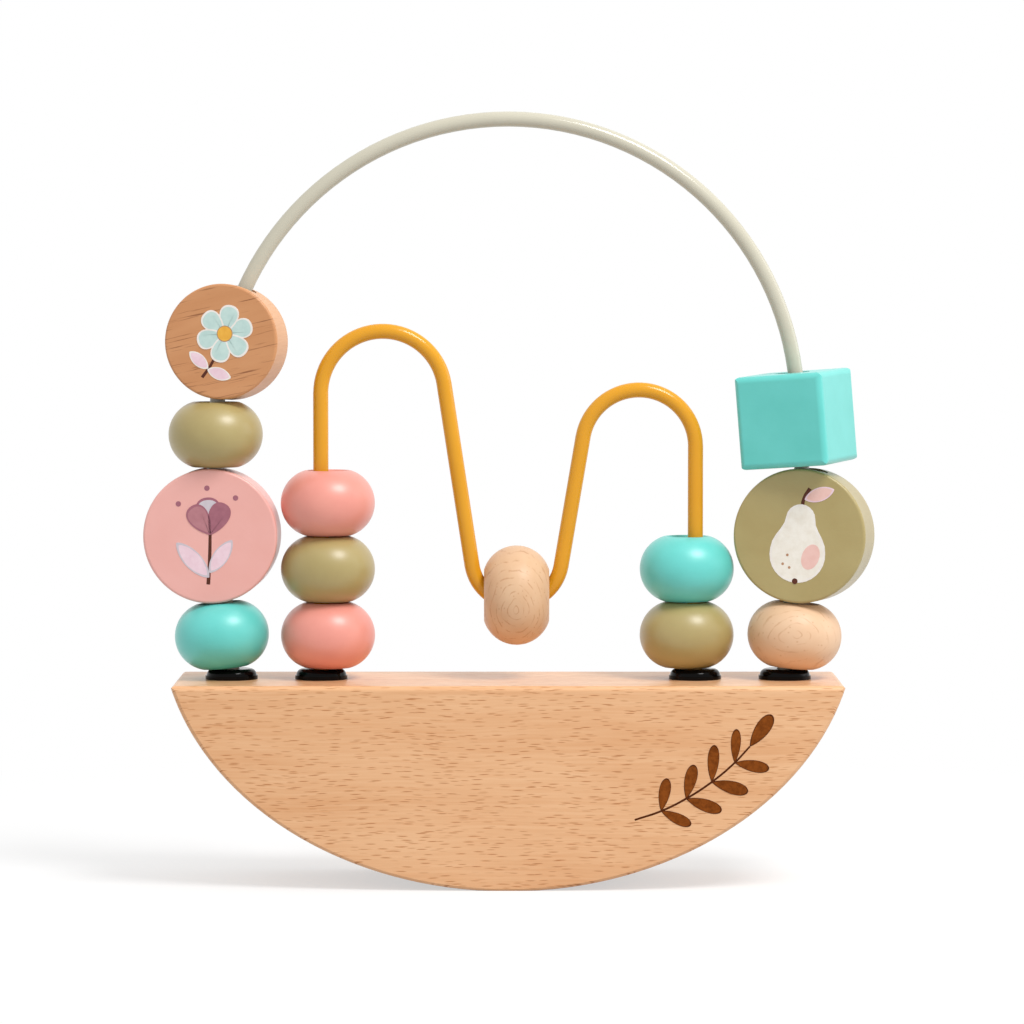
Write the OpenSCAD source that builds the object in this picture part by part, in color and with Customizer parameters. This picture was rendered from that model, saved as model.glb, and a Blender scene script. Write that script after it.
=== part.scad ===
/* [Overall] */
// Height from the floor to the top of the outer arch
overall_h = 201; // [190:1:220]

/* [Rocker base] */
// Length of the deck from end to end
base_len = 174; // [168:1:190]
// Depth of the block from front to back
base_depth = 45; // [38:1:60]
// Height of the deck above the floor
deck_h = 52.9; // [48:0.1:58]
// Height at which the oval of the sole is widest
sole_h = 69.6; // [60:0.2:80]
// Depth of wood taken off under the oval, which leaves a narrow flat to stand on
sole_cut = 0.3; // [0.25:0.05:0.5]
// Round along all edges of the block
base_edge = 1.4; // [1:0.2:4]

/* [Wires] */
// Diameter of both wires with their coat
wire_d = 4; // [3.4:0.1:4.6]
// Spacing of the outer wire's legs at the deck
outer_legs = 144.8; // [140:0.4:150]
// How far the outer arch swells out beyond each leg
arch_swell = 3.1; // [2.4:0.1:3.6]
// Radius of the slow bend between an outer leg and the arch
shoulder_r = 150; // [130:1:170]
// Rise from the arch's middle to where the slow bend begins, as an angle
shoulder_angle = 10.2; // [8:0.2:12]
// Depth of the wires below the deck
wire_seat = 16; // [12:1:18]
// Height of the left crest of the inner wire above the deck
left_crest_rise = 90.9; // [84:0.1:96]
// Radius of the left crest
left_crest_r = 16.2; // [14:0.1:18]
// Height of the right crest of the inner wire above the deck
right_crest_rise = 75.6; // [70:0.1:82]
// Radius of the right crest
right_crest_r = 14.8; // [13:0.1:17]
// Height of the valley's centre above the deck
valley_rise = 31.6; // [30:0.1:36]
// Distance of the valley to the right of the middle
valley_shift = 2.2; // [0:0.1:4]
// Radius of the valley beyond half a bead's length
valley_room = 3.3; // [3:0.1:5]

/* [Beads] */
// Diameter of a round bead
bead_d = 24.6; // [23:0.1:26]
// Height of a round bead along its bore
bead_h = 17; // [15:0.1:18]
// Diameter of the natural bead in the valley
valley_bead_d = 26; // [24:0.1:28]
// Diameter of a large disc
large_disc_d = 35; // [32:0.1:37]
// Diameter of the small disc
small_disc_d = 30; // [26:0.1:32]
// Thickness of the discs
disc_t = 13.5; // [12:0.1:15]
// Round on the rims of the discs
disc_edge = 0.7; // [0.5:0.1:2]
// Edge length of the cube
cube_w = 24.2; // [22:0.1:26]
// Round on the edges of the cube
cube_edge = 1.6; // [0.8:0.1:3]
// Bore of each bead beyond the wire's diameter
bore_room = 5.4; // [5:0.1:6.4]
// Chamfer at both mouths of a bead's bore
bore_mouth = 1; // [0.4:0.1:1.2]

/* [Collars] */
// Diameter of a collar's flange
flange_d = 13.7; // [12.6:0.1:16]
// Height of a collar above the deck
collar_h = 2.7; // [2.4:0.1:4]
// Height of the flange's straight rim
rim_h = 1; // [0.6:0.1:1.4]
// Diameter of the shank that sits in the base
shank_d = 7; // [6:0.1:8]
// Length of the shank
shank_len = 8; // [5:0.5:14]

/* [Fits] */
// Gap between pieces that rest on each other
stack_gap = 0.3; // [0.2:0.05:0.5]
// Extra gap above the right disc, whose rim rises as it turns on its leaning leg
turn_gap = 0.5; // [0.4:0.05:0.7]
// Gap that lets a bead pass beside a large disc
pass_gap = 0.35; // [0.3:0.05:0.6]
// Least gap between a wire and a bore that hangs to one side of it
rub_gap = 0.9; // [0.8:0.05:1.4]
// Gap round each wire and each shank in its hole
seat_gap = 0.1; // [0.05:0.01:0.15]

/* [Turned pieces] */
// Turn of the large disc on the left leg
left_disc_turn = -2; // [-4:0.5:4]
// Turn of the small disc on the arch
small_disc_turn = -10; // [-30:0.5:30]
// Turn of the large disc on the right leg
right_disc_turn = -15; // [-16:0.5:0]
// Turn of the cube
cube_turn = -24; // [-45:0.5:45]
// Lean of the cube towards the middle
cube_lean = 4.6; // [0:0.2:5]

/* [Hidden] */
$fn = 96;

// One overrun for cuts and for straight runs that reach into a bend
overrun = 0.3;
// Coat that a bend loses as the wire is drawn round it
bend_thin = 0.03;
// Radius of the small bend above each outer collar
foot_r = 12;
// Depth planed off the block's front and back after the oval is shaped
face_cut = 0.05;
// Flat ring on a collar's flange outside its dome
flange_ledge = 0.3;
// How far the bulge of a bead's side reaches past its flat ends
side_crown = 0.4;
// How far the right disc hangs forward, and the beads beside it back
side_step = 1.2;

beech = "#d8b48c";
turquoise = "#74c9bd";
olive = "#b29e62";
pink = "#e2897b";
pale_pink = "#ecb0a4";
brown_wood = "#b98a5c";
grey_coat = "#ccd3cd";
mustard_coat = "#d49a2c";
black = "#1c1c1c";

bore_d = wire_d + bore_room;
hang_out = bore_room / 2 - rub_gap;
side_r = bead_h / 2 + side_crown;
outer_x = outer_legs / 2;
arch_r = outer_x + arch_swell;
arch_z = overall_h - wire_d / 2 - arch_r;
seat_z = deck_h - wire_seat;
collar_top = deck_h + collar_h;
foot_z = collar_top + stack_gap + bend_thin;
valley_r = bead_h / 2 + valley_room;
valley_z = deck_h + valley_rise;

// A bend is [x, z, radius]: the radius is positive where the wire turns clockwise seen from
// the front, negative where it turns the other way and zero at an end of the wire.

// Direction of the straight run that joins two bends
function travel(a, b) = let (step = [b[0] - a[0], b[1] - a[1]])
    atan2(step[1], step[0]) - asin(max(-1, min(1, (a[2] - b[2]) / norm(step))));
// Point where a run in that direction touches a bend
function touch(bend, dir) = [bend[0] - bend[2] * sin(dir), bend[1] + bend[2] * cos(dir)];

shoulder_reach = shoulder_r - arch_r;
shoulder_x = shoulder_reach * cos(shoulder_angle);
shoulder_z = arch_z - shoulder_reach * sin(shoulder_angle);
outer_bends = [
    [-outer_x, seat_z, 0],
    [-outer_x - foot_r, foot_z, -foot_r],
    [shoulder_x, shoulder_z, shoulder_r],
    [0, arch_z, arch_r],
    [-shoulder_x, shoulder_z, shoulder_r],
    [outer_x + foot_r, foot_z, -foot_r],
    [outer_x, seat_z, 0],
];

// The outer legs lean out alike on both sides
outer_lean = travel(outer_bends[1], outer_bends[2]) - 90;
outer_foot = touch(outer_bends[1], outer_lean + 90);
function outer_leg_x(z) = (z - outer_foot[1]) * tan(outer_lean) - outer_foot[0];

// Pieces rest on each other from the collars up, the small disc on one corner of its rim
low_z = collar_top + stack_gap + bead_h / 2;
bead_step = bead_h + stack_gap;
large_disc_z = low_z + (bead_h / 2 + stack_gap + large_disc_d / 2) * cos(outer_lean);
arch_bead_z = large_disc_z + large_disc_d / 2 + stack_gap + bead_h / 2;
small_disc_z = arch_bead_z + bead_h / 2 + 2 * stack_gap + small_disc_d / 2;
cube_z = large_disc_z + large_disc_d / 2 + stack_gap + turn_gap + cube_w / 2;

// The large discs hang to the outside of their legs, and the inner legs stand where the beads
// that hang to the inside of them just pass the discs: on the left the rim of the disc, on the
// right its nearest corner, which lies in front of the bead's middle
large_disc_x = outer_leg_x(large_disc_z) + hang_out;
left_pass = (large_disc_d / 2 + pass_gap + bead_d / 2) / cos(left_disc_turn);
corner = [large_disc_d / 2 - disc_edge, disc_t / 2 - disc_edge];
corner_x = corner[0] * cos(right_disc_turn) - corner[1] * sin(right_disc_turn);
corner_y = corner[0] * sin(right_disc_turn) + corner[1] * cos(right_disc_turn);
corner_room = disc_edge + pass_gap + bead_d / 2;
right_pass = corner_x + sqrt(pow(corner_room, 2) - pow(corner_y + 2 * side_step, 2));
inner_left_x = large_disc_x - left_pass;
inner_right_x = large_disc_x - right_pass;
inner_x = inner_left_x + hang_out;

left_crest_z = deck_h + left_crest_rise - left_crest_r;
right_crest_z = deck_h + right_crest_rise - right_crest_r;
inner_bends = [
    [-inner_x, seat_z, 0],
    [left_crest_r - inner_x, left_crest_z, left_crest_r],
    [valley_shift, valley_z, -valley_r],
    [inner_x - right_crest_r, right_crest_z, right_crest_r],
    [inner_x, seat_z, 0],
];

// The small disc sits on the arch's own circle and the cube just inside it, and the bead below the
// small disc sits just inside the place where the slow bend reaches furthest out
small_disc_angle = asin((small_disc_z - arch_z) / arch_r);
arch_bead_x = shoulder_r - shoulder_x - stack_gap;
cube_x = arch_r - stack_gap;
low_bead_x = outer_leg_x(low_z) + hang_out;

// The valley bead hangs from the wire by the upper edges of its bore
valley_inside_r = valley_r - wire_d / 2;
valley_drop = bore_d / 2 + bore_mouth + sqrt(pow(valley_inside_r, 2) - pow(bead_h / 2, 2)) - rub_gap;

collar_xs = [-outer_x, -inner_x, inner_x, outer_x];

// Rectangle with round corners, w wide and h high, from its middle
module round_rectangle(w, h, r) {
    square([w - 2 * r, h], center = true);
    square([w, h - 2 * r], center = true);
    for (x = [-1, 1], y = [-1, 1])
        translate([x * (w / 2 - r), y * (h / 2 - r)])
            circle(r);
}

// Wheel with rounded rims, its axis along Y
module round_wheel(r, t, edge) {
    rotate([90, 0, 0])
        rotate_extrude()
            intersection() {
                round_rectangle(2 * r, t, edge);
                translate([0, -t / 2])
                    square([r, t]);
            }
}

// Straight run of wire between two bends
module run(a, b) {
    dir = travel(a, b);
    start = touch(a, dir);
    length = norm(touch(b, dir) - start);
    translate([start[0], 0, start[1]])
        rotate([0, 90 - dir, 0])
            translate([0, 0, a[2] == 0 ? 0 : -overrun])
                cylinder(d = wire_d, h = length + (a[2] == 0 || b[2] == 0 ? overrun : 2 * overrun));
}

// Bend of wire between its neighbours on the wire
module bend(before, here, after) {
    into = travel(before, here);
    out = travel(here, after);
    start = here[2] > 0 ? out + 90 : into - 90;
    translate([here[0], 0, here[1]])
        rotate([90, 0, 0])
            rotate([0, 0, start])
                rotate_extrude(angle = abs(out - into))
                    translate([abs(here[2]), 0])
                        circle(d = wire_d - bend_thin);
}

module bent_wire(bends) {
    for (i = [0 : len(bends) - 2])
        run(bends[i], bends[i + 1]);
    for (i = [1 : len(bends) - 2])
        bend(bends[i - 1], bends[i], bends[i + 1]);
}

// Bush with a domed flange on the deck and a shank in the base
module collar(x) {
    dome_r = collar_h - rim_h;
    dome_x = flange_d / 2 - dome_r - flange_ledge;
    color(black)
        translate([x, 0, deck_h])
            difference() {
                rotate_extrude() {
                    square([flange_d / 2, rim_h]);
                    intersection() {
                        translate([dome_x, rim_h])
                            circle(dome_r);
                        square([flange_d / 2, collar_h]);
                    }
                    square([dome_x, collar_h]);
                    translate([0, -shank_len])
                        square([shank_d / 2, collar_h + shank_len]);
                }
                translate([0, 0, -shank_len - overrun])
                    cylinder(d = wire_d + 2 * seat_gap, h = collar_h + shank_len + 2 * overrun);
            }
}

// Turned bead with a bulging side, flat ends and a chamfered bore along Z
module bead(d) {
    mouth_d = bore_d + 2 * bore_mouth;
    difference() {
        rotate_extrude()
            intersection() {
                translate([d / 2 - side_r, 0])
                    circle(side_r);
                translate([bore_d / 2, -bead_h / 2])
                    square([d, bead_h]);
            }
        for (end = [0, 180])
            rotate([end, 0, 0])
                translate([0, 0, bead_h / 2 - bore_mouth])
                    cylinder(d1 = bore_d, d2 = mouth_d, h = bore_mouth);
    }
}

// Disc that stands on its rim, with its bore along Z
module disc(d) {
    difference() {
        round_wheel(d / 2, disc_t, disc_edge);
        translate([0, 0, -d / 2 - overrun])
            cylinder(d = bore_d, h = d + 2 * overrun);
    }
}

module rocker_base() {
    sole_b = sole_h + sole_cut;
    sole_share = (sole_h - deck_h) / sole_b;
    sole_a = base_len / 2 / sqrt(1 - pow(sole_share, 2));
    color(beech)
        difference() {
            intersection() {
                translate([0, 0, sole_h])
                    scale([1, 1, sole_b / sole_a])
                        round_wheel(sole_a, base_depth + 2 * face_cut, base_edge);
                rotate([90, 0, 90])
                    linear_extrude(2 * sole_a, center = true)
                        round_rectangle(base_depth, 2 * deck_h, base_edge);
                rotate([90, 0, 0])
                    linear_extrude(base_depth + 2 * overrun, center = true)
                        intersection() {
                            round_rectangle(base_len, 2 * deck_h, base_edge);
                            translate([-base_len, 0])
                                square([2 * base_len, 2 * deck_h]);
                        }
            }
            for (x = collar_xs)
                translate([x, 0, 0]) {
                    translate([0, 0, seat_z])
                        cylinder(d = wire_d + 2 * seat_gap, h = deck_h - seat_z + overrun);
                    translate([0, 0, deck_h - shank_len])
                        cylinder(d = shank_d + 2 * seat_gap, h = shank_len + overrun);
                }
        }
}

module outer_wire() {
    color(grey_coat)
        bent_wire(outer_bends);
}

module inner_wire() {
    color(mustard_coat)
        bent_wire(inner_bends);
}

module collar_outer_left() {
    collar(collar_xs[0]);
}

module collar_inner_left() {
    collar(collar_xs[1]);
}

module collar_inner_right() {
    collar(collar_xs[2]);
}

module collar_outer_right() {
    collar(collar_xs[3]);
}

module left_leg_bead() {
    color(turquoise)
        translate([-low_bead_x, 0, low_z])
            rotate([0, -outer_lean, 0])
                bead(bead_d);
}

module left_leg_disc() {
    color(pale_pink)
        translate([-large_disc_x, 0, large_disc_z])
            rotate([0, -outer_lean, 0])
                rotate([0, 0, left_disc_turn])
                    disc(large_disc_d);
}

module left_arch_bead() {
    color(olive)
        translate([-arch_bead_x, 0, arch_bead_z])
            bead(bead_d);
}

module left_arch_disc() {
    color(brown_wood)
        translate([-arch_r * cos(small_disc_angle), 0, small_disc_z])
            rotate([0, small_disc_angle, 0])
                rotate([0, 0, small_disc_turn])
                    disc(small_disc_d);
}

module right_leg_bead() {
    color(beech)
        translate([low_bead_x, 0, low_z])
            rotate([0, outer_lean, 0])
                bead(bead_d);
}

module right_leg_disc() {
    color(olive)
        translate([large_disc_x, -side_step, large_disc_z])
            rotate([0, outer_lean, 0])
                rotate([0, 0, right_disc_turn])
                    disc(large_disc_d);
}

module right_arch_cube() {
    color(turquoise)
        translate([cube_x, 0, cube_z])
            rotate([0, -cube_lean, 0])
                rotate([0, 0, cube_turn])
                    difference() {
                        intersection_for (turn = [[0, 0, 0], [90, 0, 0], [0, 90, 0]])
                            rotate(turn)
                                linear_extrude(cube_w, center = true)
                                    round_rectangle(cube_w, cube_w, cube_edge);
                        translate([0, 0, -cube_w / 2 - overrun])
                            cylinder(d = bore_d, h = cube_w + 2 * overrun);
                    }
}

// Bead on an inner leg, counted from the collar up
module inner_left_bead(place) {
    translate([-inner_left_x, 0, low_z + place * bead_step])
        bead(bead_d);
}

module inner_right_bead(place) {
    translate([inner_right_x, side_step, low_z + place * bead_step])
        bead(bead_d);
}

module inner_left_bead_low() {
    color(pink)
        inner_left_bead(0);
}

module inner_left_bead_mid() {
    color(olive)
        inner_left_bead(1);
}

module inner_left_bead_top() {
    color(pink)
        inner_left_bead(2);
}

module valley_bead() {
    color(beech)
        translate([valley_shift, 0, valley_z - valley_drop])
            rotate([0, 90, 0])
                bead(valley_bead_d);
}

module inner_right_bead_low() {
    color(olive)
        inner_right_bead(0);
}

module inner_right_bead_top() {
    color(turquoise)
        inner_right_bead(1);
}

rocker_base();
outer_wire();
inner_wire();
collar_outer_left();
collar_inner_left();
collar_inner_right();
collar_outer_right();
left_leg_bead();
left_leg_disc();
left_arch_bead();
left_arch_disc();
right_leg_bead();
right_leg_disc();
right_arch_cube();
inner_left_bead_low();
inner_left_bead_mid();
inner_left_bead_top();
valley_bead();
inner_right_bead_low();
inner_right_bead_top();
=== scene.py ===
# %% [markdown]
# # A rocking bead maze
# The toy is a block of beech with a curved sole, two bent wires and a set of turned beads.
# The solids already have the right shapes and places, so this lesson adds what a solid can't
# show: wood grain, satin paint, coated wire, the small prints on the discs and the leaf sprig.

# %% Load the frame
import bpy
import math
from mathutils import Matrix, Vector


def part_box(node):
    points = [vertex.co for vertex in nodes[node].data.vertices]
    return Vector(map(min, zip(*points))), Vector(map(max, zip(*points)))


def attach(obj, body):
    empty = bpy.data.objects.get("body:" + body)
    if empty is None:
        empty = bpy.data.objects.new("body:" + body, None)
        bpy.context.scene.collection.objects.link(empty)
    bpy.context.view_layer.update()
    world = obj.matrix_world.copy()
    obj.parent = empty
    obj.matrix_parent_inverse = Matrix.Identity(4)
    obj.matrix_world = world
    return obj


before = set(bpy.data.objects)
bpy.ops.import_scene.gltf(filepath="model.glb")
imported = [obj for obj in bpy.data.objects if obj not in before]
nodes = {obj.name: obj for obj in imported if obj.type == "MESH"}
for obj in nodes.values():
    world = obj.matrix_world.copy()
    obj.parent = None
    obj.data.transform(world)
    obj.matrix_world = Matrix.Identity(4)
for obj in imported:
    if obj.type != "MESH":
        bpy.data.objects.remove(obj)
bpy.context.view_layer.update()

MM = 0.001

# %% [markdown]
# ## Camera
# The photograph was taken with a long lens from a little above the deck, so that the deck is a
# narrow band and the arch hardly narrows towards the top. A long lens far away gives that, and
# a short lens near by would show far more of the deck. The picture is square, so the lens in
# millimetres follows from the focal length in pixels and the 36 mm sensor.

# %% Camera
PICTURE_PIXELS = 1024
FOCAL_PIXELS = 4659
SENSOR_MM = 36
FARTHEST = 20
eye = Vector((1.0, -1216, 160.9)) * MM
aim = Vector((1.0, 0, 96.6)) * MM

bpy.ops.object.select_all(action="DESELECT")
bpy.ops.object.camera_add(
    location=eye, rotation=(aim - eye).to_track_quat("-Z", "Y").to_euler())
camera = bpy.context.object
camera.name = "photo_camera"
camera.data.sensor_width = SENSOR_MM
camera.data.lens = FOCAL_PIXELS / PICTURE_PIXELS * SENSOR_MM
camera.data.clip_end = FARTHEST
bpy.context.scene.camera = camera
print("lens in mm:", round(camera.data.lens, 1))

# %% [markdown]
# ## Colours and nodes
# Colours are written as they look on a screen, and the shader wants them linear, so one function
# turns a hex value into linear numbers. One more function adds a node, sets what is constant
# and links what isn't. Patterns are sized in millimetres: a texture's scale is how many
# of its features fit into a metre. A Mix node that mixes colours keeps its sockets under
# numbers, so they get names here.

# %% Colours, nodes and sizes
MIX_SHARE, MIX_FROM, MIX_TO, MIXED = 0, 6, 7, 2


def linear(hex_colour):
    parts = [int(hex_colour[i:i + 2], 16) / 255 for i in (1, 3, 5)]
    return [p / 12.92 if p <= 0.04045 else ((p + 0.055) / 1.055) ** 2.4 for p in parts] + [1.0]


def add(tree, kind, settings=None, links=None):
    made = tree.nodes.new(kind)
    for key, value in (settings or {}).items():
        if isinstance(key, int) or key in made.inputs:
            made.inputs[key].default_value = value
        else:
            setattr(made, key, value)
    for key, source in (links or {}).items():
        tree.links.new(source, made.inputs[key])
    return made


def per_metre(size_mm):
    return 1000 / size_mm


print("mid grey as a linear number:", round(linear("#808080")[0], 3))

# %% [markdown]
# ## Materials on pieces
# Every material starts the same way, with an output and with Object coordinates, which are the
# place of a point in metres. The solids come with a plain material, and a new one takes its slot.

# %% New material and dressing
def new_material(name):
    material = bpy.data.materials.new(name)
    material.use_nodes = True
    tree = material.node_tree
    tree.nodes.clear()
    output = add(tree, "ShaderNodeOutputMaterial")
    place = add(tree, "ShaderNodeTexCoord")
    return material, tree, output, place.outputs["Object"]


def dress(node_name, material):
    mesh = nodes[node_name].data
    mesh.materials.clear()
    mesh.materials.append(material)
    print(node_name, "wears", material.name)


print("pieces to dress:", sorted(nodes))

# %% [markdown]
# ## Lamps
# The photograph has a soft key light from the upper right, much light from the right-hand side,
# which makes the right walls of the discs and the cube pale, and a white surround that fills
# the shadows. The first two are round area lamps: a softbox in front and above, and a wide, weak
# panel on the right. The view transform is Standard, so that colours come out as written.

# %% Lamps
AIM_HEIGHT = 0.08


def softbox(name, from_where, distance, size, level):
    direction = Vector(from_where).normalized()
    bpy.ops.object.select_all(action="DESELECT")
    bpy.ops.object.light_add(
        type="AREA",
        location=direction * distance + Vector((0, 0, AIM_HEIGHT)),
        rotation=(-direction).to_track_quat("-Z", "Y").to_euler(),
    )
    lamp = bpy.context.object
    lamp.name = name
    lamp.data.shape = "DISK"
    lamp.data.size = size
    # A white card that faces the lamp gets this share of full white
    lamp.data.energy = math.pi ** 2 * level * distance ** 2
    print(name, "power:", round(lamp.data.energy, 2))


softbox("key_softbox", from_where=(0.38, -0.45, 0.80), distance=1.3, size=0.5, level=0.72)
softbox("right_panel", from_where=(0.95, 0.12, 0.30), distance=1.2, size=0.8, level=0.17)
bpy.context.scene.view_settings.view_transform = "Standard"

# %% [markdown]
# ## White surround
# The third source is a plain white world. Light Path tells which kind of ray asks: where the
# world is seen or mirrored it is full white, and where it lights the toy it is dimmer. The
# background is white in this way, and the toy isn't lit more for that.

# %% World
WHITE = (1, 1, 1, 1)
SURROUND_LIGHT = 0.71


def seen_or_mirrored(tree):
    rays = add(tree, "ShaderNodeLightPath")
    mirrored = add(tree, "ShaderNodeMath", {"operation": "MAXIMUM"},
                   {0: rays.outputs["Is Glossy Ray"], 1: rays.outputs["Is Transmission Ray"]})
    seen = add(tree, "ShaderNodeMath", {"operation": "MAXIMUM"},
               {0: rays.outputs["Is Camera Ray"], 1: mirrored.outputs[0]})
    return seen.outputs[0]


world = bpy.data.worlds.new("white_surround")
bpy.context.scene.world = world
world.use_nodes = True
sky = world.node_tree
sky.nodes.clear()
dim = add(sky, "ShaderNodeBackground", {"Color": WHITE, "Strength": SURROUND_LIGHT})
full = add(sky, "ShaderNodeBackground", {"Color": WHITE, "Strength": 1.0})
sky_mix = add(sky, "ShaderNodeMixShader",
              links={0: seen_or_mirrored(sky), 1: dim.outputs[0], 2: full.outputs[0]})
add(sky, "ShaderNodeOutputWorld", links={"Surface": sky_mix.outputs[0]})
print("world nodes:", len(sky.nodes))

# %% [markdown]
# ## Floor
# The toy stands on matt white paper. Paper that is only lit looks grey beside a white world, so
# it also glows where it is seen or mirrored. The glow is weakest below the toy, where it leaves
# the soft shadow, and full further out, so that floor and world meet without an edge.

# %% Floor
FLOOR_SIZE = 12
GLOW_WEAKEST_AT, GLOW_FULL_AT = 0.06, 0.3
GLOW_WEAKEST = 0.55

bpy.ops.object.select_all(action="DESELECT")
bpy.ops.mesh.primitive_plane_add(size=FLOOR_SIZE, location=(0, 0, 0))
floor = bpy.context.object
floor.name = "white_floor"
floor_paper, tree, output, place = new_material("white_paper")
seen = seen_or_mirrored(tree)
tint = add(tree, "ShaderNodeMix",
           {"data_type": "RGBA", MIX_FROM: linear("#c4c4c4"), MIX_TO: linear("#f6f6f6")},
           {MIX_SHARE: seen})
paper = add(tree, "ShaderNodeBsdfDiffuse", links={"Color": tint.outputs[MIXED]})
glow = add(tree, "ShaderNodeEmission", {"Color": WHITE, "Strength": 1.0})
away = add(tree, "ShaderNodeVectorMath", {"operation": "LENGTH"}, {0: place})
fade = add(tree, "ShaderNodeMapRange",
           {"From Min": GLOW_WEAKEST_AT, "From Max": GLOW_FULL_AT,
            "To Min": GLOW_WEAKEST, "To Max": 1.0},
           {"Value": away.outputs["Value"]})
share = add(tree, "ShaderNodeMath", {"operation": "MULTIPLY"}, {0: fade.outputs[0], 1: seen})
mixed = add(tree, "ShaderNodeMixShader",
            links={0: share.outputs[0], 1: paper.outputs[0], 2: glow.outputs[0]})
tree.links.new(mixed.outputs[0], output.inputs["Surface"])
floor.data.materials.append(floor_paper)
print("floor in m:", FLOOR_SIZE)

# %% [markdown]
# ## Dashes in beech
# Cut along the grain, beech shows short dark dashes, here 2 to 3 mm long. They could be noise cut
# to its highest values, but noise joins up into worms. The cells of a flat Voronoi texture stay
# apart: they are pulled out about sixteen times along the grain, and each cell that is picked at
# random draws one dash. Two sizes of cell make the pattern uneven, as wood is.

# %% Dashes
# Length and height of a cell in mm, and the random number from which a cell shows its dash
DASH_CELLS = ((8.6, 0.56, 0.22), (6.8, 0.40, 0.5))
TURN_ABOUT_GRAIN = math.radians(-50)
TURN_OF_CELLS = math.radians(33)


def beech_dashes(tree, grain):
    # The cells are flat, so they are turned half over about the grain: front and deck both cut them
    turned = add(tree, "ShaderNodeMapping", {"Rotation": (TURN_ABOUT_GRAIN, 0, 0)},
                 {"Vector": grain})
    masks = []
    for length, height, first in DASH_CELLS:
        # Turning the squeezed cells keeps them from lining up in columns
        cell_place = add(tree, "ShaderNodeMapping",
                         {"Scale": (per_metre(length), per_metre(height), 1),
                          "Rotation": (0, 0, TURN_OF_CELLS)},
                         {"Vector": turned.outputs[0]})
        cell = add(tree, "ShaderNodeTexVoronoi",
                   {"voronoi_dimensions": "2D", "Scale": 1, "Randomness": 1},
                   {"Vector": cell_place.outputs[0]})
        dash = add(tree, "ShaderNodeMapRange", {"From Min": 0.20, "From Max": 0.10},
                   {"Value": cell.outputs["Distance"]})
        pick = add(tree, "ShaderNodeSeparateColor", links={0: cell.outputs["Color"]})
        shown = add(tree, "ShaderNodeMapRange",
                    {"From Min": first, "From Max": first + 0.4, "To Max": 0.9},
                    {"Value": pick.outputs[0]})
        mask = add(tree, "ShaderNodeMath", {"operation": "MULTIPLY"},
                   {0: dash.outputs[0], 1: shown.outputs[0]})
        masks.append(mask.outputs[0])
    dashes = add(tree, "ShaderNodeMath", {"operation": "MAXIMUM"}, {0: masks[0], 1: masks[1]})
    return dashes.outputs[0]


print("dash cells:", [(length, height) for length, height, first in DASH_CELLS])

# %% [markdown]
# ## Beech block
# The block is one piece of beech, sawn along the grain and finely sanded. Besides its dashes it
# has faint streaks along the grain and slow changes of tone, which are noise stretched along the
# block. A slow drift bends them all together. A finely sanded face under a thin clear finish has
# a soft sheen, so the roughness is near 0.3, and the pores are a very shallow bump.

# %% Beech for the block
GRAIN_SWAY = 2.4 * MM
RELIEF = 0.2 * MM


def beech_block(name):
    material, tree, output, place = new_material(name)
    drift = add(tree, "ShaderNodeTexNoise", {"Scale": per_metre(30), "Detail": 2},
                {"Vector": place})
    sway = add(tree, "ShaderNodeVectorMath", {"operation": "MULTIPLY", 1: (0, 0, GRAIN_SWAY)},
               {0: drift.outputs["Color"]})
    bent = add(tree, "ShaderNodeVectorMath", {"operation": "ADD"}, {0: place, 1: sway.outputs[0]})

    streak_place = add(tree, "ShaderNodeMapping",
                       {"Scale": (per_metre(22), per_metre(5), per_metre(0.6))},
                       {"Vector": bent.outputs[0]})
    streak = add(tree, "ShaderNodeTexNoise", {"Scale": 1, "Detail": 5, "Roughness": 0.62},
                 {"Vector": streak_place.outputs[0]})
    tone_place = add(tree, "ShaderNodeMapping",
                     {"Scale": (per_metre(70), per_metre(30), per_metre(12))},
                     {"Vector": bent.outputs[0]})
    tone = add(tree, "ShaderNodeTexNoise", {"Scale": 1, "Detail": 2},
               {"Vector": tone_place.outputs[0]})
    both = add(tree, "ShaderNodeMath", {"operation": "ADD"},
               {0: streak.outputs[0], 1: tone.outputs[0]})
    wood = add(tree, "ShaderNodeMapRange", {"From Min": 0.66, "From Max": 1.34},
               {"Value": both.outputs[0]})
    ground = add(tree, "ShaderNodeMix",
                 {"data_type": "RGBA", MIX_FROM: linear("#eebe91"), MIX_TO: linear("#dca271")},
                 {MIX_SHARE: wood.outputs[0]})
    dashes = beech_dashes(tree, bent.outputs[0])
    colour = add(tree, "ShaderNodeMix", {"data_type": "RGBA", MIX_TO: linear("#b5733e")},
                 {MIX_SHARE: dashes, MIX_FROM: ground.outputs[MIXED]})

    rough = add(tree, "ShaderNodeMapRange", {"To Min": 0.24, "To Max": 0.36},
                {"Value": streak.outputs[0]})
    pores = add(tree, "ShaderNodeMath", {"operation": "SUBTRACT"},
                {0: streak.outputs[0], 1: dashes})
    bump = add(tree, "ShaderNodeBump", {"Strength": 0.12, "Distance": RELIEF},
               {"Height": pores.outputs[0]})
    skin = add(tree, "ShaderNodeBsdfPrincipled", {"IOR": 1.5, "Specular IOR Level": 0.4},
               {"Base Color": colour.outputs[MIXED], "Roughness": rough.outputs[0],
                "Normal": bump.outputs[0]})
    tree.links.new(skin.outputs[0], output.inputs["Surface"])
    return material


dress("rocker_base", beech_block("sanded_beech"))

# %% [markdown]
# ## Growth rings
# Two beads are bare wood, turned so that their fronts are end grain. The growth layers are tubes
# round the tree's middle, and end grain cuts them to nested rings, which the sides show as straight
# lines. A ring pattern with its axis from front to back gives both. Noise bends the rings and
# breaks them up. Small dark flecks stand for pores. Real pores are too fine to show in the render,
# so the flecks are drawn about five times as wide.

# %% Rings and flecks
LAYER_MM = 1.9
RING_SWAY = 3.2 * MM
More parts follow.
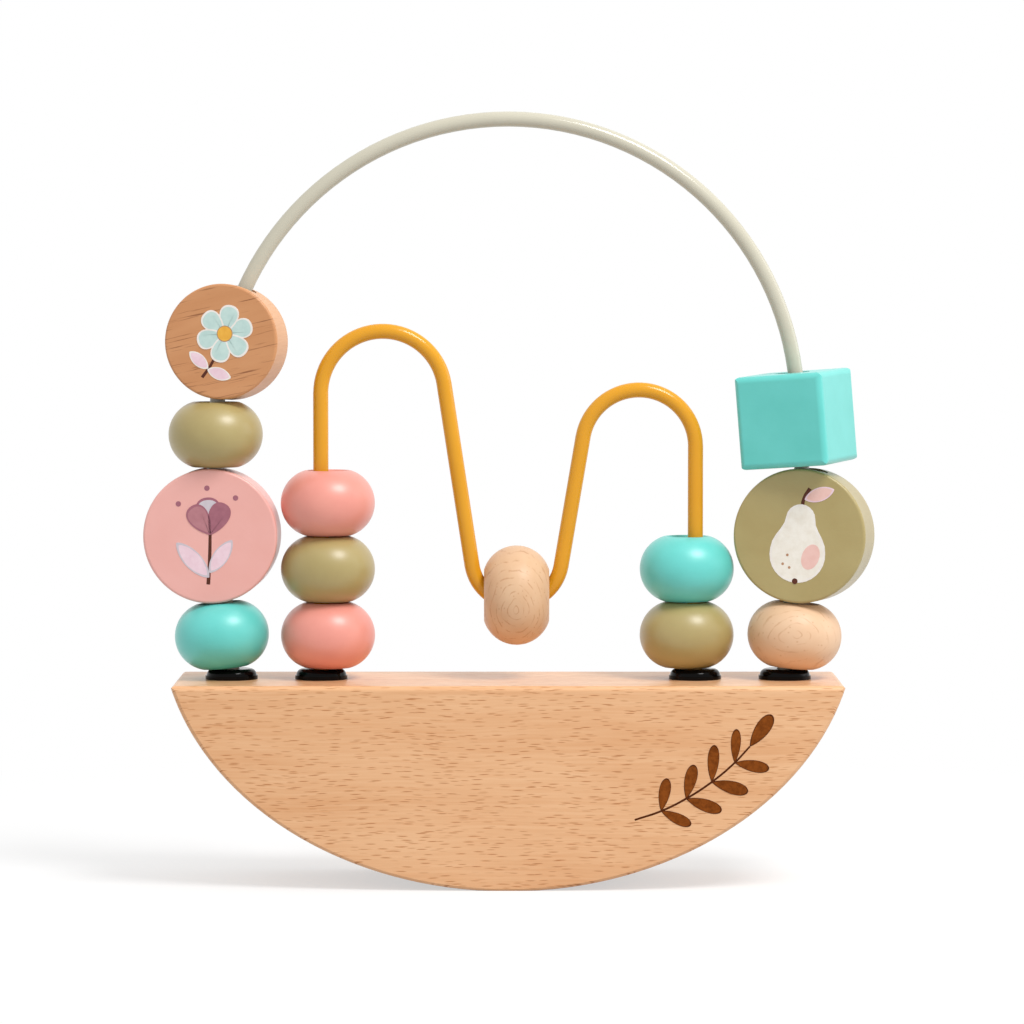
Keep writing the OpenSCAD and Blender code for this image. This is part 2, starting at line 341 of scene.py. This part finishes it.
# One wave of the Wave texture is this long at a scale of 1
WAVE_LENGTH = 2 * math.pi / 20


def rings_and_flecks(tree, own, strength):
    drift = add(tree, "ShaderNodeTexNoise", {"Scale": per_metre(8), "Detail": 3}, {"Vector": own})
    sway = add(tree, "ShaderNodeVectorMath",
               {"operation": "MULTIPLY", 1: (RING_SWAY, RING_SWAY, RING_SWAY)},
               {0: drift.outputs["Color"]})
    bent = add(tree, "ShaderNodeVectorMath", {"operation": "ADD"}, {0: own, 1: sway.outputs[0]})
    layers = add(tree, "ShaderNodeTexWave",
                 {"wave_type": "RINGS", "rings_direction": "Y",
                  "Scale": WAVE_LENGTH * per_metre(LAYER_MM)},
                 {"Vector": bent.outputs[0]})
    line = add(tree, "ShaderNodeMapRange",
               {"From Min": 0.9, "From Max": 1.0, "To Max": strength},
               {"Value": layers.outputs["Fac"]})
    broken = add(tree, "ShaderNodeTexNoise", {"Scale": per_metre(2.4), "Detail": 2},
                 {"Vector": own})
    gaps = add(tree, "ShaderNodeMapRange", {"From Min": 0.42, "From Max": 0.62},
               {"Value": broken.outputs[0]})
    arcs = add(tree, "ShaderNodeMath", {"operation": "MULTIPLY"},
               {0: line.outputs[0], 1: gaps.outputs[0]})
    pores = add(tree, "ShaderNodeTexVoronoi", {"Scale": per_metre(1.7)}, {"Vector": own})
    fleck = add(tree, "ShaderNodeMapRange",
                {"From Min": 0.17, "From Max": 0.06, "To Max": strength},
                {"Value": pores.outputs["Distance"]})
    marks = add(tree, "ShaderNodeMath", {"operation": "MAXIMUM"},
                {0: arcs.outputs[0], 1: fleck.outputs[0]})
    return marks.outputs[0]


print("growth layer in mm:", LAYER_MM)

# %% [markdown]
# ## Turned beech beads
# Each bead is cut from another place of the plank, so it has a tilt of its own and its rings are
# stretched or squeezed. Turned beech is sanded on the lathe and left bare. It looks dry, with a
# broad, weak highlight, so the roughness is above that of the block.

# %% Natural beads
def middle(node_name):
    low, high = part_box(node_name)
    return (low + high) / 2


def turned_beech(name, centre, tilt, stretch, strength, pale, deep):
    material, tree, output, place = new_material(name)
    own = add(tree, "ShaderNodeMapping",
              {"vector_type": "TEXTURE", "Location": centre, "Rotation": tilt,
               "Scale": (stretch, 1, 1)},
              {"Vector": place})
    marks = rings_and_flecks(tree, own.outputs[0], strength)
    patch = add(tree, "ShaderNodeTexNoise", {"Scale": per_metre(7), "Detail": 3},
                {"Vector": own.outputs[0]})
    ground = add(tree, "ShaderNodeMix",
                 {"data_type": "RGBA", MIX_FROM: linear(pale), MIX_TO: linear(deep)},
                 {MIX_SHARE: patch.outputs[0]})
    colour = add(tree, "ShaderNodeMix", {"data_type": "RGBA", MIX_TO: linear("#b9835a")},
                 {MIX_SHARE: marks, MIX_FROM: ground.outputs[MIXED]})
    rough = add(tree, "ShaderNodeMapRange", {"To Min": 0.38, "To Max": 0.48},
                {"Value": patch.outputs[0]})
    bump = add(tree, "ShaderNodeBump", {"Strength": 0.1, "Distance": RELIEF}, {"Height": marks})
    skin = add(tree, "ShaderNodeBsdfPrincipled", {"IOR": 1.5, "Specular IOR Level": 0.4},
               {"Base Color": colour.outputs[MIXED], "Roughness": rough.outputs[0],
                "Normal": bump.outputs[0]})
    tree.links.new(skin.outputs[0], output.inputs["Surface"])
    return material


for bead, tilt, stretch, strength, pale, deep in (
    ("valley_bead", (0.12, 0, 0.06), 0.72, 0.62, "#e3bf9b", "#d4a880"),
    ("right_leg_bead", (-0.2, 0, 0.12), 1.3, 0.4, "#e7c5a4", "#d9af89"),
):
    dress(bead, turned_beech("turned_beech_" + bead, middle(bead), tilt, stretch, strength,
                             pale, deep))

# %% [markdown]
# ## How the discs stand
# A disc leans with its wire and is turned a little about it. Both angles are needed twice: to tell
# the wood disc's face from its wall, which is painted paler as painted light, and to lay the prints
# on their discs.

# %% Angles of the discs
# Lean in the plane of the wires and turn about the wire, in degrees
DISC_ANGLES = {
    "left_arch_disc": (13.396, -10),
    "left_leg_disc": (-5.197, -2),
    "right_leg_disc": (5.197, -15),
}


def disc_turn(disc):
    lean, turn = DISC_ANGLES[disc]
    return (Matrix.Rotation(math.radians(lean), 4, "Y")
            @ Matrix.Rotation(math.radians(turn), 4, "Z"))


print("discs:", DISC_ANGLES)

# %% [markdown]
# ## Stained wood disc
# The small disc is a warm brown wood with a clear satin lacquer. Its wall is painted paler than its
# two faces: that is painted light, standing for the light from the right-hand side on the wall.
# Thin dark grain lines cross the face, rising a little to the right. They are noise, stretched
# along the grain and cut to its highest values. A second Mapping node turns the place into the
# disc's own frame, where the distance from the middle plane tells face from wall.

# %% Stained wood
GRAIN_RISE = math.radians(-13)
# Between these distances from the middle plane, the face gives way to the wall's painted light
WALL_ENDS_AT, FACE_STARTS_AT = 6.0 * MM, 6.5 * MM


def stained_wood(name, disc):
    material, tree, output, place = new_material(name)
    own = add(tree, "ShaderNodeMapping",
              {"vector_type": "TEXTURE", "Location": middle(disc), "Rotation": (0, GRAIN_RISE, 0)},
              {"Vector": place})
    line_place = add(tree, "ShaderNodeMapping",
                     {"Scale": (per_metre(13), per_metre(13), per_metre(0.55))},
                     {"Vector": own.outputs[0]})
    lines = add(tree, "ShaderNodeTexNoise",
                {"Scale": 1, "Detail": 3, "Roughness": 0.55, "Distortion": 0.3},
                {"Vector": line_place.outputs[0]})
    line = add(tree, "ShaderNodeMapRange", {"From Min": 0.59, "From Max": 0.69, "To Max": 0.85},
               {"Value": lines.outputs[0]})
    tone_place = add(tree, "ShaderNodeMapping",
                     {"Scale": (per_metre(24), per_metre(24), per_metre(5))},
                     {"Vector": own.outputs[0]})
    tone = add(tree, "ShaderNodeTexNoise", {"Scale": 1, "Detail": 3},
               {"Vector": tone_place.outputs[0]})
    ground = add(tree, "ShaderNodeMix",
                 {"data_type": "RGBA", MIX_FROM: linear("#d79d6e"), MIX_TO: linear("#bd7d4c")},
                 {MIX_SHARE: tone.outputs[0]})
    face = add(tree, "ShaderNodeMix", {"data_type": "RGBA", MIX_TO: linear("#86502b")},
               {MIX_SHARE: line.outputs[0], MIX_FROM: ground.outputs[MIXED]})
    # The wall keeps the grain but is painted paler than the face: painted light from the right-hand
    # side
    painted_light_wall = add(tree, "ShaderNodeMix",
               {"data_type": "RGBA", MIX_FROM: linear("#e5b285"), MIX_TO: linear("#ce9567")},
               {MIX_SHARE: lines.outputs[0]})

    in_disc = add(tree, "ShaderNodeMapping",
                  {"vector_type": "TEXTURE", "Location": middle(disc),
                   "Rotation": disc_turn(disc).to_euler()},
                  {"Vector": place})
    along = add(tree, "ShaderNodeSeparateXYZ", links={0: in_disc.outputs[0]})
    off_middle = add(tree, "ShaderNodeMath", {"operation": "ABSOLUTE"}, {0: along.outputs["Y"]})
    # Where this mask is low, the wall's painted light takes the place of the face colour
    on_face = add(tree, "ShaderNodeMapRange",
                  {"From Min": WALL_ENDS_AT, "From Max": FACE_STARTS_AT},
                  {"Value": off_middle.outputs[0]})
    colour = add(tree, "ShaderNodeMix", {"data_type": "RGBA"},
                 {MIX_SHARE: on_face.outputs[0], MIX_FROM: painted_light_wall.outputs[MIXED],
                  MIX_TO: face.outputs[MIXED]})

    bump = add(tree, "ShaderNodeBump", {"Strength": 0.1, "Distance": RELIEF},
               {"Height": lines.outputs[0]})
    rough = add(tree, "ShaderNodeMapRange", {"To Min": 0.36, "To Max": 0.5},
                {"Value": tone.outputs[0]})
    skin = add(tree, "ShaderNodeBsdfPrincipled", {"IOR": 1.5, "Specular IOR Level": 0.45},
               {"Base Color": colour.outputs[MIXED], "Roughness": rough.outputs[0],
                "Normal": bump.outputs[0]})
    tree.links.new(skin.outputs[0], output.inputs["Surface"])
    return material


dress("left_arch_disc", stained_wood("stained_lacquered_wood", "left_arch_disc"))

# %% [markdown]
# ## Satin paint on wood
# The coloured beads are dipped or sprayed with a water-based satin paint. It dries with a fine
# orange peel, lets the grain below show as faint ridges, and is a little uneven in tone. The
# highlight is soft, so the roughness is near 0.45, under a thin top layer that is smoother.

# %% Satin paint
def satin_paint(name, colour_hex, shade_hex):
    material, tree, output, place = new_material(name)
    cloud = add(tree, "ShaderNodeTexNoise", {"Scale": per_metre(11), "Detail": 3},
                {"Vector": place})
    amount = add(tree, "ShaderNodeMapRange", {"From Min": 0.35, "From Max": 0.75},
                 {"Value": cloud.outputs[0]})
    colour = add(tree, "ShaderNodeMix",
                 {"data_type": "RGBA", MIX_FROM: linear(colour_hex), MIX_TO: linear(shade_hex)},
                 {MIX_SHARE: amount.outputs[0]})
    peel = add(tree, "ShaderNodeTexNoise", {"Scale": per_metre(0.8), "Detail": 2},
               {"Vector": place})
    ridge_place = add(tree, "ShaderNodeMapping",
                      {"Scale": (per_metre(9), per_metre(9), per_metre(0.9))}, {"Vector": place})
    ridges = add(tree, "ShaderNodeTexNoise", {"Scale": 1, "Detail": 3},
                 {"Vector": ridge_place.outputs[0]})
    relief = add(tree, "ShaderNodeMath", {"operation": "ADD"},
                 {0: peel.outputs[0], 1: ridges.outputs[0]})
    bump = add(tree, "ShaderNodeBump", {"Strength": 0.07, "Distance": RELIEF},
               {"Height": relief.outputs[0]})
    rough = add(tree, "ShaderNodeMapRange", {"To Min": 0.40, "To Max": 0.50},
                {"Value": cloud.outputs[0]})
    skin = add(tree, "ShaderNodeBsdfPrincipled",
               {"IOR": 1.5, "Specular IOR Level": 0.35, "Coat Weight": 0.75,
                "Coat Roughness": 0.34},
               {"Base Color": colour.outputs[MIXED], "Roughness": rough.outputs[0],
                "Normal": bump.outputs[0]})
    tree.links.new(skin.outputs[0], output.inputs["Surface"])
    return material

# %% [markdown]
# ## Painted pieces
# Four paints cover ten pieces. Each paint is mixed once, in a main tone and a slightly deeper one,
# and pieces of one colour share it, as they share a pot of paint.

# %% Painted pieces
for paint, colour, shade, painted in (
    ("turquoise", "#63cfc7", "#5ac7be",
     ("left_leg_bead", "right_arch_cube", "inner_right_bead_top")),
    ("olive", "#ad9c65", "#a5925a",
     ("left_arch_bead", "inner_left_bead_mid", "inner_right_bead_low", "right_leg_disc")),
    ("coral", "#ea998a", "#e38f81", ("inner_left_bead_low", "inner_left_bead_top")),
    ("pink", "#ecafa6", "#e8a89e", ("left_leg_disc",)),
):
    material = satin_paint(paint + "_satin_paint", colour, shade)
    for piece in painted:
        dress(piece, material)

# %% [markdown]
# ## Coated wire
# Both wires are steel with a thick powder coat, one a warm pale grey and one mustard. The coat
# has flowed out smooth and fairly glossy, so a bright line runs along each bend. Its own grit is
# finer than a pixel, so it is drawn coarser here, 2.5 mm wide and very shallow.

# %% Wire coats
GRIT_MM = 2.5
GRIT_RELIEF = 0.1 * MM


def powder_coat(name, colour_hex, shade_hex, gloss):
    material, tree, output, place = new_material(name)
    cloud = add(tree, "ShaderNodeTexNoise", {"Scale": per_metre(14), "Detail": 2},
                {"Vector": place})
    colour = add(tree, "ShaderNodeMix",
                 {"data_type": "RGBA", MIX_FROM: linear(colour_hex), MIX_TO: linear(shade_hex)},
                 {MIX_SHARE: cloud.outputs[0]})
    grit = add(tree, "ShaderNodeTexNoise", {"Scale": per_metre(GRIT_MM), "Detail": 1},
               {"Vector": place})
    bump = add(tree, "ShaderNodeBump", {"Strength": 0.006, "Distance": GRIT_RELIEF},
               {"Height": grit.outputs[0]})
    rough = add(tree, "ShaderNodeMapRange", {"To Min": 0.15, "To Max": 0.22},
                {"Value": cloud.outputs[0]})
    skin = add(tree, "ShaderNodeBsdfPrincipled", {"IOR": 1.5, "Specular IOR Level": gloss},
               {"Base Color": colour.outputs[MIXED], "Roughness": rough.outputs[0],
                "Normal": bump.outputs[0]})
    tree.links.new(skin.outputs[0], output.inputs["Surface"])
    return material


dress("outer_wire", powder_coat("grey_powder_coat", "#c9c4b2", "#c1bca9", gloss=0.5))
dress("inner_wire", powder_coat("mustard_powder_coat", "#e2a025", "#dc991e", gloss=0.3))

# %% [markdown]
# ## Black bushes
# The bushes are moulded in a glossy black plastic, so they need a low roughness and something
# bright to mirror, which the white surround gives them. Faint flow marks of about 3 mm keep the
# mirrored light from being perfect.

# %% Bushes
def gloss_plastic(name, colour_hex):
    material, tree, output, place = new_material(name)
    haze = add(tree, "ShaderNodeTexNoise", {"Scale": per_metre(3), "Detail": 3},
               {"Vector": place})
    rough = add(tree, "ShaderNodeMapRange", {"To Min": 0.08, "To Max": 0.15},
                {"Value": haze.outputs[0]})
    flow = add(tree, "ShaderNodeBump", {"Strength": 0.02, "Distance": RELIEF},
               {"Height": haze.outputs[0]})
    skin = add(tree, "ShaderNodeBsdfPrincipled",
               {"Base Color": linear(colour_hex), "IOR": 1.5, "Specular IOR Level": 0.09},
               {"Roughness": rough.outputs[0], "Normal": flow.outputs[0]})
    tree.links.new(skin.outputs[0], output.inputs["Surface"])
    return material


bush_black = gloss_plastic("black_gloss_plastic", "#050404")
for side in ("outer_left", "inner_left", "inner_right", "outer_right"):
    dress("collar_" + side, bush_black)

# %% [markdown]
# ## Ink and scorched wood
# The prints lie on the discs as a film of ink, and the sprig is burnt into the block, so both are
# very thin pieces of their own. Ink is nearly even, with a fine mottle where it sank into the
# ground. Scorched wood is patchy and matt, and darkest along the edge of each leaf.

# %% Inks
INK_PATCH_MM, INK_ROUGH = 2.2, 0.42
SCORCH_ROUGH, SCORCH_GLOSS = 0.7, 0.1


def ink(name, colour_hex, shade_hex, patch_mm=INK_PATCH_MM, roughness=INK_ROUGH, gloss=0.3):
    material, tree, output, place = new_material(name)
    cloud = add(tree, "ShaderNodeTexNoise",
                {"Scale": per_metre(patch_mm), "Detail": 4, "Roughness": 0.6}, {"Vector": place})
    amount = add(tree, "ShaderNodeMapRange", {"From Min": 0.35, "From Max": 0.68},
                 {"Value": cloud.outputs[0]})
    colour = add(tree, "ShaderNodeMix",
                 {"data_type": "RGBA", MIX_FROM: linear(colour_hex), MIX_TO: linear(shade_hex)},
                 {MIX_SHARE: amount.outputs[0]})
    rough = add(tree, "ShaderNodeMapRange", {"To Min": roughness, "To Max": roughness + 0.12},
                {"Value": cloud.outputs[0]})
    skin = add(tree, "ShaderNodeBsdfPrincipled", {"IOR": 1.5, "Specular IOR Level": gloss},
               {"Base Color": colour.outputs[MIXED], "Roughness": rough.outputs[0]})
    tree.links.new(skin.outputs[0], output.inputs["Surface"])
    return material


inks = {
    tone: ink(tone + "_ink", colour, shade)
    for tone, colour, shade in (
        ("aqua", "#c6ded8", "#b9d4cf"), ("white", "#f1ece6", "#e9e2da"),
        ("yellow", "#eeb54a", "#e4a63c"), ("rose", "#efd3dd", "#e7c6d1"),
        ("dark_brown", "#4a1f10", "#5a2a18"), ("mauve", "#b97f86", "#ae747c"),
        ("plum", "#a66a78", "#9b606e"), ("lilac_grey", "#cfc6cd", "#c5bbc3"),
        ("blush", "#eec6bd", "#e8bbb1"), ("cream", "#f1ece2", "#e8e1d4"),
        ("tan", "#b98d6c", "#ab7f5f"),
    )
}
scorch = ink("scorched_beech", "#8a4814", "#6b3409", 1.1, SCORCH_ROUGH, SCORCH_GLOSS)
scorch_edge = ink("deeply_scorched_beech", "#55270a", "#4a2107", 0.6, SCORCH_ROUGH, SCORCH_GLOSS)
print("inks:", len(inks))

# %% [markdown]
# ## Flat shapes
# A print could be a pattern in the disc's material, but a thin mesh has a crisp edge at any size
# and carries its own ink. Every petal, leaf and dot starts as a filled circle that stands upright
# with its foot at the origin, one unit high. Its rows of points are then drawn in or out to give a
# leaf, a petal or a pear.

# %% Circle and rows
OUTLINE_POINTS = 36
SAME_ROW = 1e-4


def upright_circle(name):
    bpy.ops.object.select_all(action="DESELECT")
    bpy.ops.mesh.primitive_circle_add(
        vertices=OUTLINE_POINTS, radius=0.5, fill_type="NGON",
        location=(0, 0, 0.5), rotation=(math.pi / 2, 0, 0))
    shape = bpy.context.object
    shape.name = name
    bpy.ops.object.transform_apply(location=True, rotation=True, scale=True)
    return shape


def draw_rows(shape, half_width):
    bpy.context.tool_settings.mesh_select_mode = (True, False, False)
    mesh = shape.data
    heights = sorted({round(v.co.z, 5) for v in mesh.vertices})[1:-1]
    for height in heights:
        bpy.ops.object.mode_set(mode="EDIT")
        bpy.ops.mesh.select_all(action="DESELECT")
        bpy.ops.object.mode_set(mode="OBJECT")
        row = [v for v in mesh.vertices if abs(v.co.z - height) < SAME_ROW]
        for vertex in row:
            vertex.select = True
        factor = half_width(height) / max(v.co.x for v in row)
        bpy.ops.object.mode_set(mode="EDIT")
        bpy.ops.transform.resize(value=(factor, 1, 1), center_override=(0, 0, height))
        bpy.ops.object.mode_set(mode="OBJECT")


print("points round a shape:", OUTLINE_POINTS)

# %% [markdown]
# ## Thickness and rim
# The flat face is extruded towards the viewer for thickness. The new face is then inset, so that
# the ring round it can carry an ink of its own, like the line round a printed shape.

# %% Thickness and rim
FILL_SLOT, RIM_SLOT = 0, 1


def thicken(shape, rim):
    bpy.context.tool_settings.mesh_select_mode = (False, False, True)
    bpy.ops.object.mode_set(mode="EDIT")
    bpy.ops.mesh.select_all(action="SELECT")
    bpy.ops.mesh.extrude_region_move(TRANSFORM_OT_translate={"value": (0, -1, 0)})
    bpy.ops.mesh.inset(thickness=rim)
    bpy.ops.object.mode_set(mode="OBJECT")
    # After the inset only the inner face is still selected
    for face in shape.data.polygons:
        face.material_index = FILL_SLOT if face.select else RIM_SLOT
    bpy.ops.object.mode_set(mode="EDIT")
    bpy.ops.mesh.select_all(action="SELECT")
    bpy.ops.mesh.normals_make_consistent(inside=False)
    bpy.ops.object.mode_set(mode="OBJECT")
    print(shape.name, "faces:", len(shape.data.polygons))

# %% [markdown]
# ## Masters
# A shape that comes back many times is modelled once, as a master, and copied later. A leaf or a
# petal is a drop: it widens to its widest place and narrows to its tip. The pear is two round ends
# with an easy curve between them.

# %% Outlines and masters
def drop(widest, foot_power, tip_power):
    """Half width of a leaf whose widest place is at this share of its length."""
    return lambda z: 0.5 * (z / widest) ** foot_power * ((1 - z) / (1 - widest)) ** tip_power


def pear(z):
    """Half width of a pear: a round belly, an easy curve and a round neck."""
    belly, neck, turn = 0.36, 0.19, 0.46
    if z < turn:
        return math.sqrt(belly ** 2 - (z - belly) ** 2)
    if z < 1 - neck:
        way = (z - turn) / (1 - neck - turn)
        ease = way * way * (3 - 2 * way)
        return math.sqrt(belly ** 2 - (turn - belly) ** 2) * (1 - ease) + neck * ease
    return neck * math.sqrt(1 - ((z - 1 + neck) / neck) ** 2)


masters = {}
for kind, half_width, rim in (
    ("dot", None, 0.05),
    ("petal", drop(0.66, 0.9, 0.45), 0.07),
    ("leaf", drop(0.5, 0.75, 0.75), 0.07),
    ("sprig_leaf", drop(0.72, 0.85, 0.5), 0.04),
    ("pear", pear, 0.03),
):
    masters[kind] = upright_circle(kind)
    if half_width:
        draw_rows(masters[kind], half_width)
    thicken(masters[kind], rim)

# %% [markdown]
# ## Stamping the shapes
# A print is made of copies of the masters. A copy gets a size in millimetres, a direction
# counted from the right like an angle on paper, and the place of its foot. Its layer says how many
# films thick it is, so that one shape can lie over another.

# %% Stamp
FILM_MM = 0.05
UPRIGHT = 90


def stamp(kind, fill, rim, width, length, direction, foot, layer=1):
    bpy.ops.object.select_all(action="DESELECT")
    masters[kind].select_set(True)
    bpy.context.view_layer.objects.active = masters[kind]
    bpy.ops.object.duplicate(linked=False)
    copy = bpy.context.object
    copy.scale = Vector((width, FILM_MM * layer, length)) * MM
    copy.rotation_euler = (0, math.radians(UPRIGHT - direction), 0)
    copy.location = Vector((foot[0], 0, foot[1])) * MM
    copy.data.materials.append(fill)
    copy.data.materials.append(rim)
    bpy.ops.object.transform_apply(location=True, rotation=True, scale=True)
    return copy


def stamp_dot(fill, rim, size, middle_at, layer=1):
    foot = (middle_at[0], middle_at[1] - size / 2)
    return stamp("dot", fill, rim, size, size, UPRIGHT, foot, layer)


print("one film in mm:", FILM_MM)

# %% [markdown]
# ## Stems
# A stem is a Bezier curve with a round bevel, whose radius changes from point to point. It is
# made a mesh and pressed flat, so that it lies on the wood like the other shapes.

# %% Stem
def stem(points, half_widths, material):
    bpy.ops.object.select_all(action="DESELECT")
    bpy.ops.curve.primitive_bezier_curve_add(location=(0, 0, 0))
    curve = bpy.context.object
    spline = curve.data.splines[0]
    # The new curve has two points already
    spline.bezier_points.add(len(points) - 2)
    for point, (x, z), half_width in zip(spline.bezier_points, points, half_widths):
        point.co = Vector((x, 0, z)) * MM
        point.handle_left_type = point.handle_right_type = "AUTO"
        point.radius = half_width
    curve.data.bevel_depth = MM
    curve.data.bevel_resolution = 2
    curve.data.resolution_u = 8
    curve.data.use_fill_caps = True
    bpy.ops.object.convert(target="MESH")
    line = bpy.context.object
    line.data.materials.append(material)
    bpy.ops.object.mode_set(mode="EDIT")
    bpy.ops.mesh.select_all(action="SELECT")
    flatness = FILM_MM / max(half_widths)
    bpy.ops.transform.resize(value=(1, flatness, 1), center_override=(0, 0, 0))
    bpy.ops.mesh.normals_make_consistent(inside=False)
    bpy.ops.object.mode_set(mode="OBJECT")
    print("stem faces:", len(line.data.polygons))
    return line

# %% [markdown]
# ## Laying a print
# At the end the shapes of a print become one piece. It is laid on the front of its disc, and it
# rides on the disc's body, so that it turns and slides with the disc.

# %% Lay
DISC_HALF_MM = 6.75


def disc_face(disc):
    return (Matrix.Translation(middle(disc)) @ disc_turn(disc)
            @ Matrix.Translation((0, -DISC_HALF_MM * MM, 0)))


def lay(name, pieces, place, body):
    bpy.ops.object.select_all(action="DESELECT")
    for piece in pieces:
        piece.select_set(True)
    bpy.context.view_layer.objects.active = pieces[0]
    bpy.ops.object.join()
    joined = bpy.context.object
    joined.name = name
    joined.matrix_world = place
    bpy.ops.object.transform_apply(location=True, rotation=True, scale=True)
    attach(joined, body)
    print(name, "faces:", len(joined.data.polygons))


print("half a disc's depth in mm:", DISC_HALF_MM)

# %% [markdown]
# ## A flower on the wood disc
# Six pale petals with white rims stand round a yellow eye, on a brown stem with two leaves. Each
# petal lies a little over the one before it, so that no two faces share a plane.

# %% Flower
PETALS, FIRST_PETAL = 6, 30
flower_eye = (0.6, 2.2)
flower = [stem([(-2.6, -10.2), (-1.0, -6.2), (0.3, 0.0)], (0.42, 0.36, 0.3), inks["dark_brown"])]
for foot, direction in (((-1.6, -7.6), 152), ((-1.7, -7.9), -6)):
    flower.append(stamp("leaf", inks["rose"], inks["white"], 3.2, 6.6, direction, foot, layer=1.5))
for petal in range(PETALS):
    direction = FIRST_PETAL + 360 / PETALS * petal
    flower.append(stamp("petal", inks["aqua"], inks["white"], 5.2, 7.6, direction, flower_eye,
                        layer=2 + petal * 0.1))
flower.append(stamp_dot(inks["yellow"], inks["tan"], 4.2, flower_eye, layer=3.2))
lay("flower_print", flower, disc_face("left_arch_disc"), "left_arch_disc")

# %% [markdown]
# ## A tulip on the pink disc
# Three petals overlap in a cup, two long leaves rise from the foot of the stem, and three dots
# float above.

# %% Tulip
tulip = [stem([(-1.6, -12.4), (-0.6, -5.6), (0.2, 1.4)], (0.5, 0.44, 0.4), inks["dark_brown"])]
for width, length, direction, foot in (
    (4.6, 12.4, 128, (-1.2, -10.6)), (4.0, 10.4, 50, (-1.0, -9.4)),
):
    tulip.append(stamp("leaf", inks["rose"], inks["lilac_grey"], width, length, direction, foot,
                       layer=1.5))
tulip.append(stamp("petal", inks["lilac_grey"], inks["plum"], 6.6, 9.6, UPRIGHT, (0.2, 0.6),
                   layer=2))
for direction, tone in ((119, "mauve"), (61, "plum")):
    tulip.append(stamp("petal", inks[tone], inks["plum"], 5.6, 9.0, direction, (0.2, 0.4),
                       layer=2.5))
for spot in ((-7.4, 9.2), (7.6, 9.4), (0.4, 12.6)):
    tulip.append(stamp_dot(inks["plum"], inks["plum"], 1.4, spot))
lay("tulip_print", tulip, disc_face("left_leg_disc"), "left_leg_disc")

# %% [markdown]
# ## A pear on the olive disc
# The pear is one pale shape with a warm blush and a few specks, a dark eye below, a short stem
# and a leaf.

# %% Pear
fruit = [stem([(0.1, 7.4), (0.4, 10.0), (1.7, 12.6)], (0.5, 0.42, 0.5), inks["dark_brown"])]
for kind, fill, rim, width, length, direction, foot, layer in (
    ("pear", "cream", "white", 20.5, 20.5, UPRIGHT, (0, -12.2), 1.5),
    ("dot", "blush", "blush", 4.6, 6.8, 74, (2.6, -8.4), 2),
    ("leaf", "blush", "rose", 3.6, 8.2, 24, (0.6, 9.6), 2),
):
    fruit.append(stamp(kind, inks[fill], inks[rim], width, length, direction, foot, layer))
for speck in ((-2.6, -5.2), (-3.6, -7.6), (-1.8, -8.4)):
    fruit.append(stamp_dot(inks["tan"], inks["tan"], 0.7, speck, layer=2))
fruit.append(stamp_dot(inks["dark_brown"], inks["dark_brown"], 1.5, (0, -11.8), layer=2))
lay("pear_print", fruit, disc_face("right_leg_disc"), "right_leg_disc")

# %% [markdown]
# ## The leaf sprig on the block
# One stem climbs to the right over the front of the block. At four places along it a pair of
# leaves springs out, one upwards and one to the right, and one leaf ends the stem. Each pair has
# lengths, widths and directions of its own, as leaves that are drawn by hand have.

# %% Sprig
stem_points = [(32.6, 18.4), (39.4, 20.7), (45.8, 23.9), (52.4, 28.2), (58.3, 33.2), (62.2, 37.4)]
sprig = [stem(stem_points, (0.26, 0.28, 0.28, 0.27, 0.26, 0.24), scorch_edge)]
# Length, width and direction of each leaf, pair by pair, and of the last one alone
leaf_groups = (
    ((8.6, 2.9, 80), (8.5, 2.8, -25)), ((9.0, 3.1, 77), (9.7, 3.2, -19)),
    ((9.6, 2.9, 86), (9.7, 3.3, -15)), ((8.7, 2.5, 87), (9.0, 3.0, -10)),
    ((9.9, 3.7, 55),),
)
for foot, group in zip(stem_points[1:], leaf_groups):
    for length, width, direction in group:
        sprig.append(stamp("sprig_leaf", scorch, scorch_edge, width, length, direction, foot,
                           layer=1.5))
block_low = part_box("rocker_base")[0]
lay("leaf_sprig", sprig, Matrix.Translation((0, block_low.y, 0)), "base")

# %% [markdown]
# ## Clearing up
# The masters have done their work and are deleted, so that only finished pieces are left.

# %% Delete the masters
bpy.ops.object.select_all(action="DESELECT")
for shape in masters.values():
    shape.select_set(True)
bpy.ops.object.delete()
